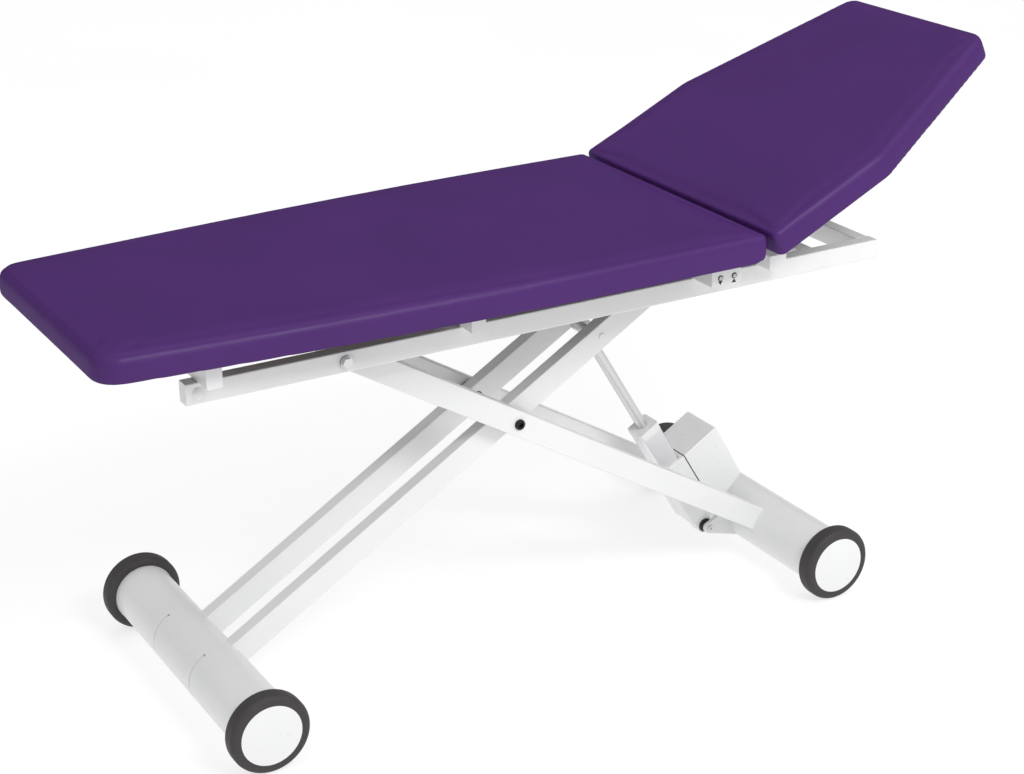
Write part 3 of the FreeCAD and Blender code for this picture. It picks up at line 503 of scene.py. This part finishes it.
def cushion(name, plan, z0, z1, top_radius, low_radius, seam_depth):
    """Foam pad in a tight vinyl cover, drawn flat."""
    outline = Outline(plan)
    piece = slab(name, plan, z0, z1)
    remesh(piece, VOXEL)
    roll_edge(piece, outline, z1, 1, top_radius)
    roll_edge(piece, outline, z0, -1, low_radius)
    even_out(piece, 1)
    puff(piece, lambda p: p.z < z0 + HELD_HEIGHT, PRESSURE, SWELL)
    even_out(piece, 2)
    modifier = piece.modifiers.new("fine", "SUBSURF")
    modifier.levels = 1
    modifier.render_levels = 1
    use_modifiers(piece)
    crease(piece, outline, z1, top_radius, seam_depth, CREASE_WIDTH)
    for face in piece.data.polygons:
        face.use_smooth = True
    return piece


def blend_along(x, x0, x1, at_0, at_1):
    """at_0 up to x0, at_1 from x1, and a straight change between them."""
    return at_0 + (at_1 - at_0) * min(1.0, max(0.0, (x - x0) / (x1 - x0)))


# the long section narrows towards the foot end in a slight curve
leg_low, leg_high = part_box("leg_cushion")
FOOT_END = leg_low.x
HEAD_END = leg_high.x
HALF = (leg_high.y - leg_low.y) / 2
FULL_WIDTH_FROM = FOOT_END + 0.941
NARROWING = 0.052
TAPER_LENGTH = 0.920
TAPER_POWER = 1.6
GROW = 0.0035               # drawn this much too wide, since smoothing draws the edges in
ARC_STEP = 0.003
STATIONS = 10
FOOT_CORNER = 0.046
SIDE_BEND = 0.9
HEAD_CORNER = 0.008
HEAD_LOW_RADIUS = 0.018     # the lower head edge is rolled wider than the other low edges


def half_width(x):
    if x >= FULL_WIDTH_FROM:
        return HALF
    return HALF - NARROWING * ((FULL_WIDTH_FROM - x) / TAPER_LENGTH) ** TAPER_POWER


def leg_top_radius(x):
    return blend_along(x, FOOT_END + 0.2, HEAD_END - 0.05, 0.024, 0.008)


def leg_low_radius(x):
    if x > HEAD_END - HEAD_LOW_RADIUS:
        return HEAD_LOW_RADIUS
    return blend_along(x, FOOT_END, FOOT_END + 0.1, 0.012, 0.004)


def leg_seam_depth(x):
    return blend_along(x, FOOT_END + 0.3, HEAD_END - 0.2, 0.0012, 0.0)


stations = [FOOT_END - GROW + (HEAD_END - FOOT_END + GROW) * i / (STATIONS - 1)
            for i in range(STATIONS)]
side = [(x, half_width(x) + GROW) for x in stations]
plan = [(x, -w) for x, w in side] + [(x, w) for x, w in reversed(side)]
near_side = [FOOT_CORNER] + [SIDE_BEND] * (STATIONS - 2) + [HEAD_CORNER]
leg_pad = cushion("leg_pad", rounded_plan(plan, near_side + near_side[::-1], ARC_STEP),
                  leg_low.z, leg_high.z - 0.001,
                  leg_top_radius, leg_low_radius, leg_seam_depth)
leg_pad.data.materials.append(LOOKS["purple_vinyl"])
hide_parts("leg_cushion")
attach(leg_pad, "top_frame")

# the backrest is drawn flat and tilted about its hinge
tilt_joint = next(j for j in frame["joints"] if j["name"] == "backrest_tilt")
HINGE = Vector(tilt_joint["pos_m"])
TILT = -math.radians(tilt_joint["range_deg"][0])
BACK_GAP = 0.0109           # from the hinge to the edge of the pad
BACK_LENGTH = 0.666
BACK_HALF = 0.331
BACK_END_HALF = 0.200
BACK_STRAIGHT = 0.277       # the sides run straight this far, then close in to the head end
BACK_THICK = 0.0537
back_0 = HINGE.x + BACK_GAP
back_1 = back_0 + BACK_LENGTH + GROW
back_s = back_0 + BACK_STRAIGHT
wide = BACK_HALF + GROW
narrow = BACK_END_HALF + 2 * GROW
side = [(back_0, wide), (back_s, wide), (back_1, narrow)]
plan = [(x, -w) for x, w in side] + [(x, w) for x, w in reversed(side)]
near_side = [0.012, 0.06, 0.034]
back_pad = cushion("back_pad", rounded_plan(plan, near_side + near_side[::-1], ARC_STEP),
                   leg_low.z, leg_low.z + BACK_THICK,
                   lambda x: blend_along(x, back_0, back_0 + 0.1, 0.009, 0.016),
                   lambda x: 0.005,
                   lambda x: 0.0)
swing = Matrix.Translation(HINGE) @ Matrix.Rotation(-TILT, 4, "Y") @ Matrix.Translation(-HINGE)
back_pad.data.transform(swing)
back_pad.data.materials.append(LOOKS["purple_vinyl"])
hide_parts("back_cushion")
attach(back_pad, "backrest")


# ---------------------------------------------------------------- signs under the buttons
SIGN_HALF = 0.0054
SIGN_HEIGHT = 0.0080
SIGN_LIFT = 0.0056          # middle of the signs above the lower edge of the switch box
INK = 0.00012


def triangle_sign(name, x, z, y, up):
    """Flat printed triangle, raised by the thickness of its ink."""
    height = SIGN_HEIGHT * (1 if up else -1)
    mesh = bmesh.new()
    corners = [(x - SIGN_HALF, z - height / 2), (x + SIGN_HALF, z - height / 2),
               (x, z + height / 2)]
    front = [mesh.verts.new((cx, y - INK, cz)) for cx, cz in corners]
    back = [mesh.verts.new((cx, y + INK, cz)) for cx, cz in corners]
    mesh.faces.new(front)
    mesh.faces.new(back[::-1])
    for i in range(3):
        mesh.faces.new((front[i], front[(i + 1) % 3], back[(i + 1) % 3], back[i]))
    sign = new_piece(name, mesh)
    sign.data.materials.append(LOOKS["black_plastic"])
    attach(sign, "top_frame")


box_low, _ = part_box("switch_box")
for button, up in (("button_down", False), ("button_up", True)):
    low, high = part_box(button)
    triangle_sign(button.replace("button", "sign"), (low.x + high.x) / 2,
                  box_low.z + SIGN_LIFT, box_low.y, up)


# ---------------------------------------------------------------- painted shade in the housing's seam
# A dark ring that stands a little proud between gear case and motor cover: painted shade, put where the seam's
# shadow falls.
REAR_PIN = Vector((0.4399, 0.0, 0.0666))
ALONG_ROD = Vector((-0.516044, 0.0, 0.856562))
ACROSS_ROD = Vector((0.856562, 0.0, 0.516044))
SEAM_FROM = 0.0451          # along the rod from the rear pin
SEAM_TO = 0.2003
SEAM_HALF = 0.0343          # half its width along Y
SEAM_LOW = 0.0323           # across the rod
SEAM_HIGH = 0.0345
SEAM_CUT = 0.0014           # corners cut off
SEAM_DEPTH = 0.0026


def seam_loop(mesh, inset, across):
    """One octagonal loop of the gasket, inset from the outside of the housing."""
    s0, s1, half = SEAM_FROM + inset, SEAM_TO - inset, SEAM_HALF - inset
    cut = SEAM_CUT
    corners = [(s0 + cut, -half), (s1 - cut, -half), (s1, -half + cut), (s1, half - cut),
               (s1 - cut, half), (s0 + cut, half), (s0, half - cut), (s0, -half + cut)]
    level = ACROSS_ROD * across
    return [mesh.verts.new(REAR_PIN + ALONG_ROD * s + level + Vector((0.0, y, 0.0)))
            for s, y in corners]


mesh = bmesh.new()
loops = [seam_loop(mesh, 0.0, SEAM_LOW), seam_loop(mesh, 0.0, SEAM_HIGH),
         seam_loop(mesh, SEAM_DEPTH, SEAM_HIGH), seam_loop(mesh, SEAM_DEPTH, SEAM_LOW)]
for k in range(4):
    here, there = loops[k], loops[(k + 1) % 4]
    for i in range(8):
        j = (i + 1) % 8
        mesh.faces.new((here[i], here[j], there[j], there[i]))
# painted shade: a black ring in place of the shadow in the seam
shade_ring = new_piece("seam_shade_ring", mesh)
shade_ring.data.materials.append(LOOKS["black_plastic"])
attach(shade_ring, "actuator_body")
